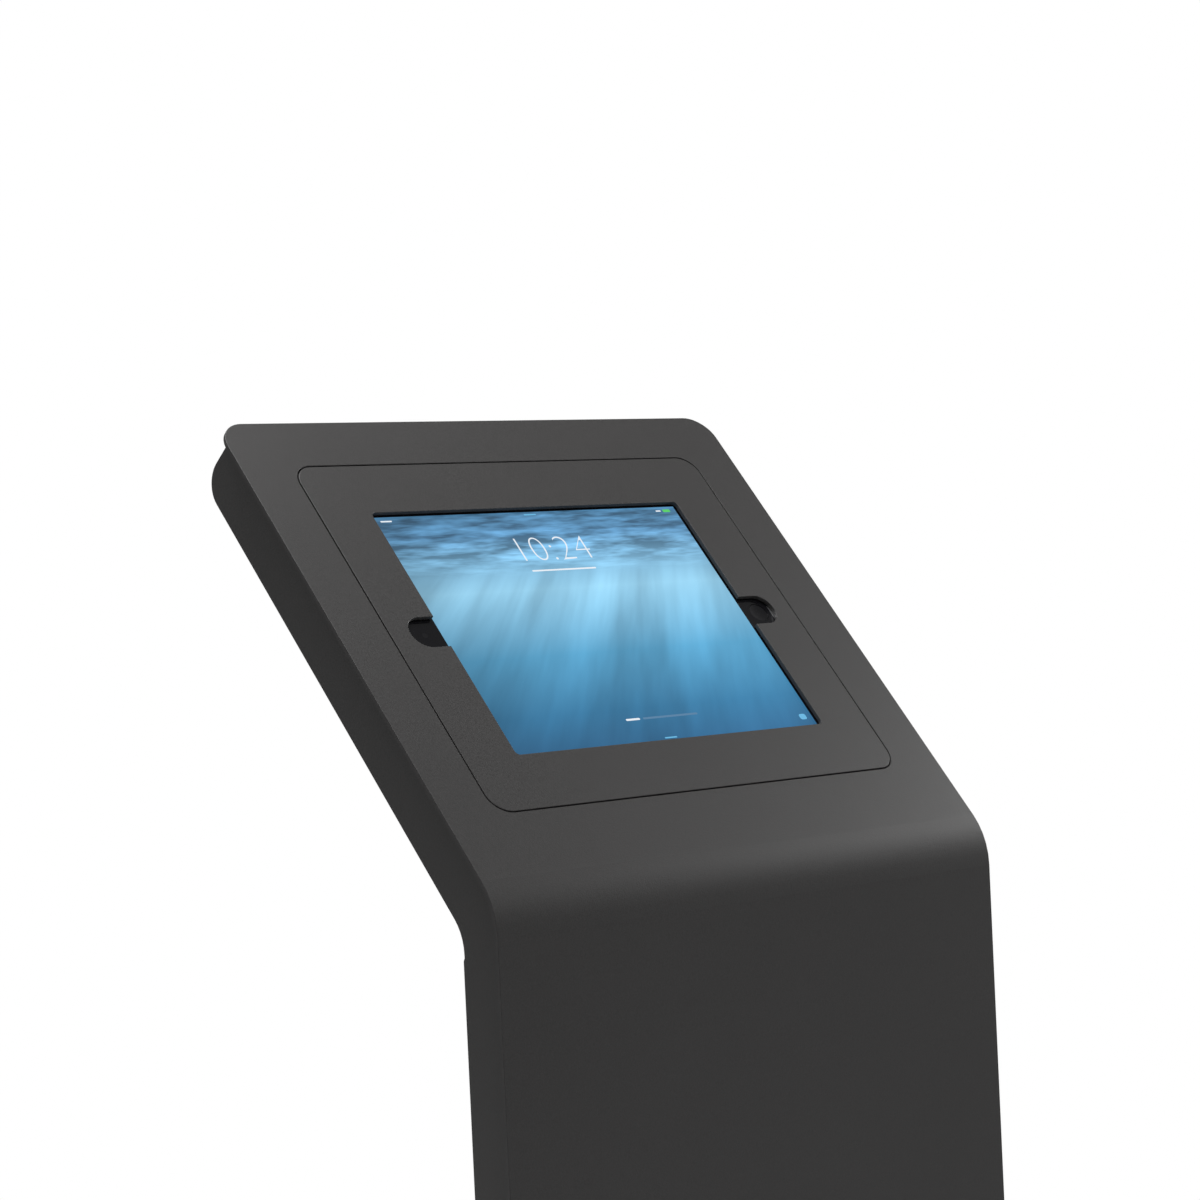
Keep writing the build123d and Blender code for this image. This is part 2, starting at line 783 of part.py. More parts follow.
def tablet_cradle():
    """Tray behind the tablet, with side flanges that screw to the support frame."""
    outer_corner = 4.0
    inner_corner = outer_corner - cradle_wall
    cut_corner = 8.0
    plug_half_width = 12.0
    flange_half_height = cradle_half_height - outer_corner
    inner_width = 2 * (cradle_half_width - cradle_wall)
    inner_height = 2 * (cradle_half_height - cradle_wall)
    shape = plate(2 * cradle_half_width, 2 * cradle_half_height, outer_corner, cradle_back, frame_back)
    shape -= plate(inner_width, inner_height, inner_corner, cradle_floor, frame_back + past)
    for side in (-1, 1):
        ends = sorted((side * (cradle_half_width - cradle_wall), side * (cradle_half_width + flange_reach)))
        shape += box(*ends, -flange_half_height, flange_half_height, frame_back - cradle_wall, frame_back)
        cut_width = inner_width / 2 - cradle_rim - cradle_rib / 2
        cut_height = inner_height - 2 * cradle_rim
        shape -= plate(cut_width, cut_height, cut_corner, cradle_back - past, cradle_floor + past,
                       x=side * (cradle_rib + cut_width) / 2)
    plug_slot = box(cradle_half_width - cradle_wall - past, cradle_half_width + past, -plug_half_width,
                    plug_half_width, cradle_floor, frame_back - cradle_wall)
    shape -= plug_slot
    for x, y in cradle_screw_places:
        shape -= disc(x, y, frame_back - cradle_wall - past, frame_back + past, screw_radius + stud_clearance)
    return shape


def cradle_screw(x, y):
    seat = frame_back - cradle_wall
    tip_gap = 0.3
    head_height = 1.8
    head_radius = 2.7
    socket = 2.0
    shape = disc(x, y, seat, -sheet - tip_gap, screw_radius)
    shape += disc(x, y, seat - head_height, seat, head_radius)
    return shape - hexagon(x, y, seat - head_height - past, seat - head_height + past, socket)


def cradle_pads():
    """Four foam strips under the tablet and two along its lower edge."""
    pads = []
    from_edge = 15.0
    from_middle = 15.0
    end_gap = 1.5
    low = -tablet_height / 2 - cradle_gap
    for side in (-1, 1):
        x = side * (tablet_width / 2 - from_edge)
        for y_from in (-pad_length - from_middle, from_middle):
            pads.append(box(x - pad_width / 2, x + pad_width / 2, y_from, y_from + pad_length,
                            cradle_floor, tablet_back))
        ends = sorted((x - side * pad_width, x - side * (pad_width + pad_length / 2)))
        pads.append(box(*ends, low, low + cradle_gap, tablet_back + end_gap, -tablet_drop - end_gap))
    return pads


save_on_head(tablet_cradle(), "tablet_cradle")
save_on_head(group(cradle_screw(x, y) for x, y in cradle_screw_places), "cradle_screws")
save_on_head(group(cradle_pads()), "cradle_pads")


# ---------------------------------------------------------------- tablet
glass_front = -tablet_drop
glass_back = glass_front - glass_thickness
case_floor = tablet_back + case_floor_thickness
side_button_z = (glass_front - 2.6, glass_front - 5.6)
power_v = tablet_height / 2 - 22.75
power_length = 10.0
rocker_u = 35.0 - tablet_width / 2
rocker_length = 20.0
slot_gap = 0.15
slot_depth = 5.0             # side buttons' slots, from the tablet's edge
case_chamfer = 1.2
ledge_corner = 6.0


def tablet_case():
    shape = plate(tablet_width, tablet_height, tablet_corner, tablet_back, glass_front)
    shape = chamfer(shape.faces().sort_by(Axis.Z)[0].edges(), case_chamfer)
    glass_width = tablet_width - 2 * case_wall
    glass_height = tablet_height - 2 * case_wall
    shape -= plate(glass_width, glass_height, tablet_corner - case_wall, glass_back, glass_front + past)
    shape -= plate(glass_width - 2 * glass_ledge, glass_height - 2 * glass_ledge, ledge_corner,
                   case_floor, glass_front)
    z_high, z_low = side_button_z
    half_power = power_length / 2 + slot_gap
    shape -= box(-tablet_width / 2 - past, -tablet_width / 2 + slot_depth, power_v - half_power,
                 power_v + half_power, z_low - slot_gap, z_high + slot_gap)
    half_rocker = rocker_length / 2 + 2 * slot_gap
    shape -= box(rocker_u - half_rocker, rocker_u + half_rocker,
                 tablet_height / 2 - slot_depth, tablet_height / 2 + past,
                 z_low - slot_gap, z_high + slot_gap)
    return shape


def tablet_glass():
    shape = plate(tablet_width - 2 * case_wall, tablet_height - 2 * case_wall, tablet_corner - case_wall,
                  glass_back, glass_front)
    shape -= disc(home_centre, 0, glass_back - past, glass_front + past, home_diameter / 2 + button_clearance)
    return shape - disc(camera_centre, 0, glass_back - past, glass_front + past, camera_diameter / 2)


def tablet_display():
    corner = 1.0
    return plate(display_width, display_height, corner, glass_back - display_thickness, glass_back)


def tablet_camera():
    barrel_wall = 1.5
    barrel_depth = 3.0
    radius = camera_diameter / 2
    lens = disc(camera_centre, 0, glass_back, glass_front, radius)
    barrel = disc(camera_centre, 0, glass_back - barrel_depth, glass_back, radius + barrel_wall)
    return lens + barrel


battery_from_edge = 23.0
battery_gap = 4.0
board_width = 46.0
board_from_edge = 21.0
inner_block_height = display_height - 32.0
inner_corner = 3.0
cell_thickness = 3.2
cell_side_gap = 2.0
board_thickness = 1.6
board_overhang = 6.0         # board beyond the cells, at each end


def tablet_battery():
    """Two pouch cells side by side, left of the board."""
    room = tablet_width - battery_from_edge - board_from_edge - board_width - 2 * battery_gap
    room -= cell_side_gap
    cell = room / 2
    cells = []
    for index in range(2):
        x = battery_from_edge - tablet_width / 2 + cell / 2 + index * (cell + battery_gap)
        top = case_floor + cell_thickness
        cells.append(plate(cell, inner_block_height, inner_corner, case_floor, top, x=x))
    return cells


def tablet_board():
    x = tablet_width / 2 - board_from_edge - board_width / 2
    height = inner_block_height + 2 * board_overhang
    return plate(board_width, height, inner_corner, case_floor, case_floor + board_thickness, x=x)


home_button_height = 2.4


def home_button():
    """Round button with a shallow dished top."""
    top = glass_front - home_recess
    shape = disc(home_centre, 0, top - home_button_height, top, home_diameter / 2)
    dish_depth = 0.35
    rim = 0.5
    half_chord = home_diameter / 2 - rim
    dish_radius = (half_chord ** 2 + dish_depth ** 2) / (2 * dish_depth)
    return shape - Pos(home_centre, 0, top - dish_depth + dish_radius) * Sphere(dish_radius)


def home_switch():
    """Dome switch under the home button, on a small carrier that hangs from the glass."""
    press_gap = 0.45         # a little more than the button's travel
    dome_height = 0.4
    dome_radius = 2.0
    carrier_thickness = 0.8
    leg = 2.0
    top = glass_front - home_recess - home_button_height - press_gap
    carrier_top = top - dome_height
    inner = home_centre - 7.0
    outer = home_centre + 5.8
    half = 9.0
    shape = box(inner, outer, -half, half, carrier_top - carrier_thickness, carrier_top)
    shape += disc(home_centre, 0, carrier_top, top, dome_radius)
    for low in (-half, half - leg):
        shape += box(inner, outer, low, low + leg, carrier_top, glass_back)
    return shape


def power_button():
    z_high, z_low = side_button_z
    x = -tablet_width / 2
    depth = 2.0
    half = power_length / 2
    return box(x - side_button_proud, x + depth, power_v - half, power_v + half, z_low, z_high)


rocker_pin_radius = 0.5
rocker_pin_v = tablet_height / 2 - 1.3
rocker_below_pin = 1.1       # pin's middle to the rocker's inner face


def volume_rocker():
    z_high, z_low = side_button_z
    y_to = tablet_height / 2 + side_button_proud
    half = rocker_length / 2
    shape = box(rocker_u - half, rocker_u + half, rocker_pin_v - rocker_below_pin, y_to, z_low, z_high)
    bore = rocker_pin_radius + running_clearance
    return shape - disc(rocker_u, rocker_pin_v, z_low - past, z_high + past, bore)


def rocker_pin():
    z_high, z_low = side_button_z
    return disc(rocker_u, rocker_pin_v, z_low - slot_gap, z_high + slot_gap, rocker_pin_radius)


save_on_head(tablet_case(), "tablet_case")
save_on_head(tablet_glass(), "tablet_glass")
save_on_head(tablet_display(), "tablet_display")
save_on_head(tablet_camera(), "tablet_camera")
save_on_head(group(tablet_battery()), "tablet_battery")
save_on_head(tablet_board(), "tablet_board")
save_on_head(home_button(), "home_button")
save_on_head(home_switch(), "home_switch")
save_on_head(power_button(), "power_button")
save_on_head(volume_rocker(), "volume_rocker")
save_on_head(rocker_pin(), "volume_rocker_pin")


# ---------------------------------------------------------------- rear door
door_half = body_half - door_side_gap
door_inner = -column_depth
door_outer = door_inner - door_thickness
door_axis_x = body_half + door_hinge_radius + 0.3
door_axis_z = door_inner - door_thickness / 2
hinge_places = (door_top_w - door_hinge_from_end, door_middle_w, door_bottom_w + door_hinge_from_end)
knuckle_gap = 0.2
door_corner = 3.0
stiffener_from_end = 80.0
frame_leaf_width = 14.0
door_leaf_width = 20.0
leaf_knuckle_gap = 0.2       # frame leaf to the outer knuckles' round
leaf_set_back = 0.8          # leaf's strip to the hinge axis
pin_end = 1.0                # hinge pin beyond its knuckles


def rear_door():
    height = door_top_w - door_bottom_w
    shape = plate(2 * door_half, height, door_corner, door_outer, door_inner, y=door_middle_w)
    shape = fillet(shape.faces().sort_by(Axis.Z)[0].edges(), edge_round)
    return shape - disc(lock_u, lock_w, door_outer - past, door_inner + past, lock_body_radius)


def door_stiffener():
    """Hat channel inside the door."""
    thickness = 1.2
    depth = 7.5
    half = 22.0
    foot = 12.0
    low = door_bottom_w + stiffener_from_end
    high = door_top_w - stiffener_from_end
    top = door_inner + depth
    shape = box(-half, half, low, high, top - thickness, top)
    for side in (-1, 1):
        leg = sorted((side * half, side * (half - thickness)))
        pad = sorted((side * (half - thickness), side * (half + foot)))
        shape += box(*leg, low, high, door_inner, top)
        shape += box(*pad, low, high, door_inner, door_inner + thickness)
    return shape


def knuckle_spans(w):
    """Lower, middle and upper knuckle of the hinge centred at w."""
    third = door_hinge_length / 3
    low = w - door_hinge_length / 2
    return [
        (low, low + third - knuckle_gap),
        (low + third, low + 2 * third),
        (low + 2 * third + knuckle_gap, low + 3 * third),
    ]


def frame_leaf(w):
    """Fixed leaf on the side's outer face, with the outer knuckles."""
    half = door_hinge_length / 2
    x_from = body_half
    x_to = body_half + leaf_thickness
    z_end = door_axis_z + door_hinge_radius + leaf_knuckle_gap
    shape = box(x_from, x_to, w - half, w + half, z_end, z_end + frame_leaf_width)
    lower, _, upper = knuckle_spans(w)
    for span in (lower, upper):
        shape += box(x_from, x_to, *span, door_axis_z + leaf_set_back, z_end)
        shape += rod_y(door_axis_x, *span, door_axis_z, door_hinge_radius)
        shape -= rod_y(door_axis_x, span[0] - past, span[1] + past, door_axis_z, door_pin_radius)
    return shape


def door_leaf(w):
    """Moving leaf on the door's outer face, with the middle knuckle."""
    half = door_hinge_length / 2
    z_to = door_outer
    z_from = door_outer - leaf_thickness
    shape = box(door_half - door_leaf_width, door_half, w - half, w + half, z_from, z_to)
    middle = knuckle_spans(w)[1]
    shape += box(door_half, door_axis_x - door_hinge_radius / 2, *middle, z_from, z_to)
    shape += rod_y(door_axis_x, *middle, door_axis_z, door_hinge_radius)
    return shape - rod_y(door_axis_x, middle[0] - past, middle[1] + past, door_axis_z,
                         door_pin_radius + running_clearance)


def door_pin(w):
    half = door_hinge_length / 2 + pin_end
    return rod_y(door_axis_x, w - half, w + half, door_axis_z, door_pin_radius)


save_on_column(rear_door(), "rear_door")
save_on_column(door_stiffener(), "door_stiffener")
save_on_column(group(frame_leaf(w) for w in hinge_places), "door_hinge_frame_leaves")
save_on_column(group(door_leaf(w) for w in hinge_places), "door_hinge_door_leaves")
save_on_column(group(door_pin(w) for w in hinge_places), "door_hinge_pins")


# ---------------------------------------------------------------- door lock
cam_thickness = 2.0
cam_clearance = 0.4          # rear flange's inner face to the cam's tip
plug_proud = 0.2
lock_flange = 2.0
lock_nut_thickness = 3.4
lock_nut_rim = 2.0           # nut beyond the lock's body, across its flats
keyway_half_width = 0.7
keyway_half_length = 3.2
keyway_depth = 5.0
cam_half_width = 6.0
cam_hub_reach = 15.5         # hub's end from the plug's middle
cam_joggle = 12.5            # where the tip starts
cam_hole_clearance = 0.1
cam_screw_depth = 2.3
cam_screw_head_radius = 3.0
cam_screw_head_height = 2.0
cam_screw_socket = 2.5
lock_back = door_inner + sheet + cam_clearance + cam_thickness - plug_proud


def lock_body():
    shape = disc(lock_u, lock_w, door_outer, lock_back, lock_body_radius)
    shape += disc(lock_u, lock_w, door_outer - lock_flange, door_outer, lock_flange_radius)
    return shape - disc(lock_u, lock_w, door_outer - lock_flange - past, lock_back + past,
                        lock_plug_radius + running_clearance)


def lock_nut():
    top = door_inner + lock_nut_thickness
    shape = hexagon(lock_u, lock_w, door_inner, top, 2 * (lock_body_radius + lock_nut_rim))
    return shape - disc(lock_u, lock_w, door_inner - past, top + past, lock_body_radius)


def lock_plug():
    shape = disc(lock_u, lock_w, door_outer - lock_flange, lock_back + plug_proud, lock_plug_radius)
    keyway = box(lock_u - keyway_half_width, lock_u + keyway_half_width, lock_w - keyway_half_length,
                 lock_w + keyway_half_length, door_outer - lock_flange - past,
                 door_outer - lock_flange + keyway_depth)
    hole_bottom = lock_back - cam_screw_depth - screw_tip_gap
    return shape - keyway - disc(lock_u, lock_w, hole_bottom, lock_back + past, screw_radius)


def lock_cam():
    """Joggled cam; it points down when unlocked."""
    z_from = lock_back + plug_proud
    z_to = z_from + cam_thickness
    left = lock_u - cam_half_width
    right = lock_u + cam_half_width
    hub = box(left, right, lock_w - cam_hub_reach, lock_w + cam_half_width, z_from, z_to)
    tip = box(left, right, lock_w - cam_reach, lock_w - cam_joggle, z_from - cam_thickness, z_from)
    return hub + tip - disc(lock_u, lock_w, z_from - past, z_to + past, screw_radius + cam_hole_clearance)


def cam_screw():
    z_from = lock_back + plug_proud + cam_thickness
    z_to = z_from + cam_screw_head_height
    socket_bottom = 0.8
    shape = disc(lock_u, lock_w, lock_back - cam_screw_depth, z_from, screw_radius)
    shape += disc(lock_u, lock_w, z_from, z_to, cam_screw_head_radius)
    return shape - hexagon(lock_u, lock_w, z_from + socket_bottom, z_to + past, cam_screw_socket)


save_on_column(lock_body(), "lock_body")
save_on_column(lock_nut(), "lock_nut")
save_on_column(lock_plug(), "lock_plug")
save_on_column(lock_cam(), "lock_cam")
save_on_column(cam_screw(), "lock_cam_screw")
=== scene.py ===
"""Looks of the touchscreen kiosk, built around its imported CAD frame. Metres, +Z up, front towards -Y."""

import json
import math

import bmesh
import bpy
from mathutils import Matrix, Vector


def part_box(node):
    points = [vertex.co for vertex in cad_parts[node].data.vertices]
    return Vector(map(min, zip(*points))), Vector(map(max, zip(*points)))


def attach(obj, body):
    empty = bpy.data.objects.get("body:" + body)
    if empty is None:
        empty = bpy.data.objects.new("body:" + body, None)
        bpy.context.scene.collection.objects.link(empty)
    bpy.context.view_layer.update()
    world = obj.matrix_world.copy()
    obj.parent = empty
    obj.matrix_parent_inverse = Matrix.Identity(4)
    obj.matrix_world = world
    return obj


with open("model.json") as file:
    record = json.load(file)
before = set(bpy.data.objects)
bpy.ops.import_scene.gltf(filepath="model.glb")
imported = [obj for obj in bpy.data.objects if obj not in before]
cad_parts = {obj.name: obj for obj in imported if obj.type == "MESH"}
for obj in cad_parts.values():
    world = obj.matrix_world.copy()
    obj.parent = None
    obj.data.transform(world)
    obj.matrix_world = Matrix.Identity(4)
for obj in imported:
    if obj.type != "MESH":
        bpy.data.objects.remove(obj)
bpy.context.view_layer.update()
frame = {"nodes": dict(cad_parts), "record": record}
nodes = frame["nodes"]
scene = bpy.context.scene
MM = 0.001

# ---------------------------------------------------------------- places read from the frame
FACE_TILT = math.radians(45)
FACE_NORMAL = Vector((0, -math.cos(FACE_TILT), math.sin(FACE_TILT)))
FACE_UP = Vector((0, math.sin(FACE_TILT), math.cos(FACE_TILT)))
ACROSS = Vector((1, 0, 0))


def middle(node):
    low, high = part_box(node)
    return (low + high) / 2


def reach(node, direction):
    """How far the node's points go along a direction, from the frame's origin."""
    return max(point.co.dot(direction) for point in nodes[node].data.vertices)


glass_middle = middle("tablet_glass")
glass_front = reach("tablet_glass", FACE_NORMAL)
display_middle = middle("tablet_display")
display_half_width = reach("tablet_display", ACROSS)
display_half_height = reach("tablet_display", FACE_UP) - display_middle.dot(FACE_UP)


def on_glass(across, up, above=0.0):
    """A point on the glass, measured from the display's middle."""
    point = display_middle + ACROSS * across + FACE_UP * up
    return point + FACE_NORMAL * (glass_front + above - point.dot(FACE_NORMAL))


# ---------------------------------------------------------------- material helpers
def add_node(tree, kind, inputs, **settings):
    """A shader node with its settings; each input is a number, a vector or another node's output."""
    made = tree.nodes.new("ShaderNode" + kind)
    for setting, value in settings.items():
        setattr(made, setting, value)
    for socket, value in inputs.items():
        if isinstance(value, bpy.types.NodeSocket):
            tree.links.new(value, made.inputs[socket])
        else:
            made.inputs[socket].default_value = value
    return made


class Finish:
    """A node material under construction, with its Principled shader."""

    def __init__(self, name, **values):
        self.material = bpy.data.materials.new(name)
        self.material.use_nodes = True
        self.tree = self.material.node_tree
        self.shader = self.tree.nodes["Principled BSDF"]
        self.coords = self.tree.nodes.new("ShaderNodeTexCoord").outputs["Object"]
        for socket, value in values.items():
            self.shader.inputs[socket.replace("_", " ")].default_value = value

    def node(self, kind, inputs, **settings):
        return add_node(self.tree, kind, inputs, **settings)

    def set(self, socket, source):
        self.tree.links.new(source, self.shader.inputs[socket])

    def math(self, operation, *values):
        return self.node("Math", dict(enumerate(values)), operation=operation).outputs[0]

    def blend(self, first, share, second):
        """Share of the first and the rest of the second, as (1 - share)."""
        parts = [self.math("MULTIPLY", first, share), self.math("MULTIPLY", second, 1 - share)]
        return self.math("ADD", *parts)

    def only_where(self, place, value):
        """The value where place is 1, and 1 (no change) where place is 0."""
        return self.node("Mix", {"Factor": place, 2: 1.0, 3: value}).outputs[0]

    def noise(self, scale, detail=2.0, roughness=0.5, coords=None, stretch=None):
        source = coords or self.coords
        if stretch:
            source = self.node("Mapping", {"Vector": source, "Scale": stretch}).outputs[0]
        inputs = {"Vector": source, "Scale": scale, "Detail": detail, "Roughness": roughness}
        return self.node("TexNoise", inputs).outputs["Fac"]

    def cells(self, scale, output="Distance"):
        return self.node("TexVoronoi", {"Vector": self.coords, "Scale": scale}).outputs[output]

    def spread(self, source, low, high, start=0.3, end=0.7):
        """Source stretched from start..end to low..high."""
        inputs = {"Value": source, "From Min": start, "From Max": end, "To Min": low, "To Max": high}
        return self.node("MapRange", inputs).outputs[0]

    def ramp(self, source, stops):
        made = self.node("ValToRGB", {"Fac": source})
        elements = made.color_ramp.elements
        while len(elements) < len(stops):
            elements.new(0.5)
        for element, (place, color) in zip(elements, stops):
            element.position = place
            element.color = (*color, 1)
        return made.outputs[0]

    def bump(self, height, distance, strength=1.0, normal=None):
        inputs = {"Height": height, "Distance": distance, "Strength": strength}
        if normal:
            inputs["Normal"] = normal
        return self.node("Bump", inputs).outputs[0]


# ---------------------------------------------------------------- materials
# Grains are in waves a metre and bump depths in metres, because the coordinates are the object's own.
def powder_coat(name, dark, light, grain=1400.0, depth=0.00006):
    """Charcoal powder coat: a fine sandy grain over a faint orange peel."""
    finish = Finish(name, IOR=1.5, Specular_IOR_Level=0.42)
    fine = finish.noise(grain, 3.0, 0.6)
    peel = finish.noise(420.0, 2.0)
    cloud = finish.noise(6.0, 3.0)
    tone = finish.blend(fine, 0.8, cloud)
    finish.set("Base Color", finish.ramp(tone, [(0.34, dark), (0.66, light)]))
    finish.set("Roughness", finish.spread(fine, 0.46, 0.60))
    peeled = finish.bump(peel, 0.00004, 0.6)
    finish.set("Normal", finish.bump(fine, depth, 1.0, peeled))
    return finish.material


def zinc_plate(name):
    """Bright zinc: pale metal with a faint spangle and fine rolling lines."""
    finish = Finish(name, Metallic=1.0)
    spangle = finish.cells(160.0, output="Color")
    patch = finish.node("SeparateColor", {"Color": spangle}).outputs[0]
    lines = finish.noise(900.0, 2.0, stretch=(1, 0.06, 0.06))
    tone = finish.blend(patch, 0.35, lines)
    dark, light = (0.46, 0.46, 0.45), (0.66, 0.66, 0.64)
    finish.set("Base Color", finish.ramp(tone, [(0.2, dark), (0.8, light)]))
    finish.set("Roughness", finish.spread(tone, 0.28, 0.42))
    finish.set("Normal", finish.bump(lines, 0.00003))
    return finish.material


def brushed_metal(name, color, rough_low, rough_high, stretch):
    """Metal with fine lines along the direction that the stretch makes long."""
    finish = Finish(name, Metallic=1.0)
    lines = finish.noise(2600.0, 2.0, stretch=stretch)
    tint = tuple(channel * 0.86 for channel in color)
    finish.set("Base Color", finish.ramp(lines, [(0.3, tint), (0.7, color)]))
    finish.set("Roughness", finish.spread(lines, rough_low, rough_high))
    finish.set("Normal", finish.bump(lines, 0.00001))
    return finish.material


def blasted_aluminium(name):
    """Anodised aluminium with a very fine blasted grain."""
    finish = Finish(name, Metallic=1.0)
    fine = finish.noise(5200.0, 2.0)
    dark, light = (0.53, 0.54, 0.56), (0.63, 0.64, 0.66)
    finish.set("Base Color", finish.ramp(fine, [(0.3, dark), (0.7, light)]))
    finish.set("Roughness", finish.spread(fine, 0.36, 0.48))
    finish.set("Normal", finish.bump(fine, 0.00002))
    return finish.material


def plastic(name, dark, light, rough_low, rough_high, grain=1500.0, depth=0.00003):
    """Moulded plastic or rubber with an even grain."""
    finish = Finish(name, IOR=1.5)
    fine = finish.noise(grain, 3.0)
    finish.set("Base Color", finish.ramp(fine, [(0.3, dark), (0.7, light)]))
    finish.set("Roughness", finish.spread(fine, rough_low, rough_high))
    finish.set("Normal", finish.bump(fine, depth))
    return finish.material


def foam(name):
    """Closed-cell foam: small round pores."""
    finish = Finish(name, Roughness=0.9)
    pores = finish.cells(1400.0)
    dark, light = (0.012, 0.012, 0.013), (0.045, 0.045, 0.047)
    finish.set("Base Color", finish.ramp(pores, [(0.1, dark), (0.6, light)]))
    finish.set("Normal", finish.bump(pores, 0.0002))
    return finish.material


def circuit_board(name):
    """Green solder mask with patches for small dark parts and bright pads."""
    finish = Finish(name, IOR=1.5)
    blocks = finish.cells(210.0, output="Color")
    pick = finish.node("SeparateColor", {"Color": blocks}).outputs[1]
    mask, mask_light = (0.006, 0.055, 0.022), (0.008, 0.075, 0.03)
    chip, pad = (0.015, 0.015, 0.017), (0.45, 0.42, 0.33)
    stops = [(0.0, mask), (0.55, mask_light), (0.7, chip), (0.88, pad)]
    finish.set("Base Color", finish.ramp(pick, stops))
    finish.set("Roughness", finish.spread(pick, 0.3, 0.55))
    finish.set("Normal", finish.bump(pick, 0.0004))
    return finish.material


def battery_foil(name):
    """Dull grey pouch foil with soft creases."""
    finish = Finish(name, Metallic=0.35)
    creases = finish.noise(75.0, 4.0, 0.62)
    dark, light = (0.07, 0.07, 0.075), (0.12, 0.12, 0.125)
    finish.set("Base Color", finish.ramp(creases, [(0.3, dark), (0.7, light)]))
    finish.set("Roughness", finish.spread(creases, 0.35, 0.55))
    finish.set("Normal", finish.bump(creases, 0.0005, 0.7))
    return finish.material


def glossy_black(name, roughness, coat=0.0):
    """Glass or lacquer with a black back, and the faint haze of wiped fingerprints."""
    finish = Finish(name, IOR=1.5, Coat_Weight=coat, Coat_Roughness=0.02)
    smear = finish.noise(28.0, 4.0, 0.6)
    dark, light = (0.0035, 0.0035, 0.0045), (0.006, 0.006, 0.0075)
    finish.set("Base Color", finish.ramp(smear, [(0.3, dark), (0.7, light)]))
    finish.set("Roughness", finish.spread(smear, roughness, roughness + 0.05))
    return finish


# Picture on the display, from its lower edge to its top: a share of the height and a colour.
PICTURE = [
    (0.00, (0.028, 0.130, 0.265)),
    (0.14, (0.036, 0.180, 0.340)),
    (0.38, (0.088, 0.330, 0.540)),
    (0.66, (0.300, 0.620, 0.835)),
    (0.80, (0.190, 0.430, 0.640)),
    (0.90, (0.090, 0.240, 0.415)),
    (1.00, (0.060, 0.175, 0.310)),
]
BEAM_SOURCE = (0.200, 0.260)  # across and up from the display's middle: where the light beams meet
BEAM_WIDE, BEAM_THIN = 6.0, 26.0          # waves for one unit of the beams' angle
BEAM_CHANGE = 0.9                         # change along a metre of beam, against one unit of angle
BEAM_DIM, BEAM_BRIGHT = 0.78, 1.28
BEAM_START, BEAM_FULL = 0.82, 0.70        # shares of the height where beams fade in, going down
RIPPLE_ACROSS, RIPPLE_UP = 24.0, 150.0    # waves a metre
RIPPLE_DIM, RIPPLE_BRIGHT = 0.55, 1.9
RIPPLE_START, RIPPLE_FULL = 0.72, 0.84    # shares of the height where ripples fade in, going up
BRIGHT_PLACE = 0.2                        # of a half width, right of the display's middle
BRIGHT_LIGHT, END_LOSS = 1.08, 0.28       # light there, and what is lost a half width from it


def screen_glass(name):
    """Cover glass: black round the edge, with a lit picture of light beams over a blue gradient."""
    finish = glossy_black(name, 0.03)
    centred = finish.node("VectorMath", {0: finish.coords, 1: display_middle}, operation="SUBTRACT")
    upward = finish.node("VectorMath", {0: centred.outputs[0], 1: FACE_UP}, operation="DOT_PRODUCT")
    up = upward.outputs["Value"]
    across = finish.node("SeparateXYZ", {"Vector": centred.outputs[0]}).outputs["X"]
    inside_width = finish.math("LESS_THAN", finish.math("ABSOLUTE", across), display_half_width)
    inside_height = finish.math("LESS_THAN", finish.math("ABSOLUTE", up), display_half_height)
    lit = finish.math("MULTIPLY", inside_width, inside_height)
    share = finish.spread(up, 0, 1, -display_half_height, display_half_height)

    # beams fan out downwards from a point above the picture's upper right
    side = finish.math("SUBTRACT", across, BEAM_SOURCE[0])
    drop = finish.math("SUBTRACT", BEAM_SOURCE[1], up)
    angle = finish.math("DIVIDE", side, drop)
    place = finish.node("CombineXYZ", {"X": angle, "Y": finish.math("MULTIPLY", drop, BEAM_CHANGE)})
    wide = finish.noise(BEAM_WIDE, 2.0, coords=place.outputs[0])
    thin = finish.noise(BEAM_THIN, 2.0, coords=place.outputs[0])
    beams = finish.spread(finish.blend(wide, 0.75, thin), BEAM_DIM, BEAM_BRIGHT, 0.36, 0.66)
    beams = finish.only_where(finish.spread(share, 1.0, 0.0, BEAM_FULL, BEAM_START), beams)

    # ripples near the top edge
    waves_across = finish.math("MULTIPLY", across, RIPPLE_ACROSS)
    waves_up = finish.math("MULTIPLY", up, RIPPLE_UP)
    flat = finish.node("CombineXYZ", {"X": waves_across, "Y": waves_up})
    ripples = finish.noise(1.0, 3.0, 0.65, coords=flat.outputs[0])
    ripples = finish.spread(ripples, RIPPLE_DIM, RIPPLE_BRIGHT, 0.38, 0.68)
    ripples = finish.only_where(finish.spread(share, 0.0, 1.0, RIPPLE_START, RIPPLE_FULL), ripples)

    # brighter in the middle than at the two ends
    half_widths = finish.math("DIVIDE", across, display_half_width)
    off_middle = finish.math("SUBTRACT", half_widths, BRIGHT_PLACE)
    ends = finish.math("MULTIPLY", off_middle, off_middle)
    vignette = finish.math("SUBTRACT", BRIGHT_LIGHT, finish.math("MULTIPLY", ends, END_LOSS))
    light = finish.math("MULTIPLY", finish.math("MULTIPLY", beams, ripples), vignette)
    picture = finish.ramp(share, PICTURE)
    lit_light = finish.math("MULTIPLY", light, lit)
    shown = finish.node("VectorMath", {0: picture, "Scale": lit_light}, operation="SCALE")
    finish.set("Emission Color", shown.outputs[0])
    finish.shader.inputs["Emission Strength"].default_value = 1.0
    return finish.material


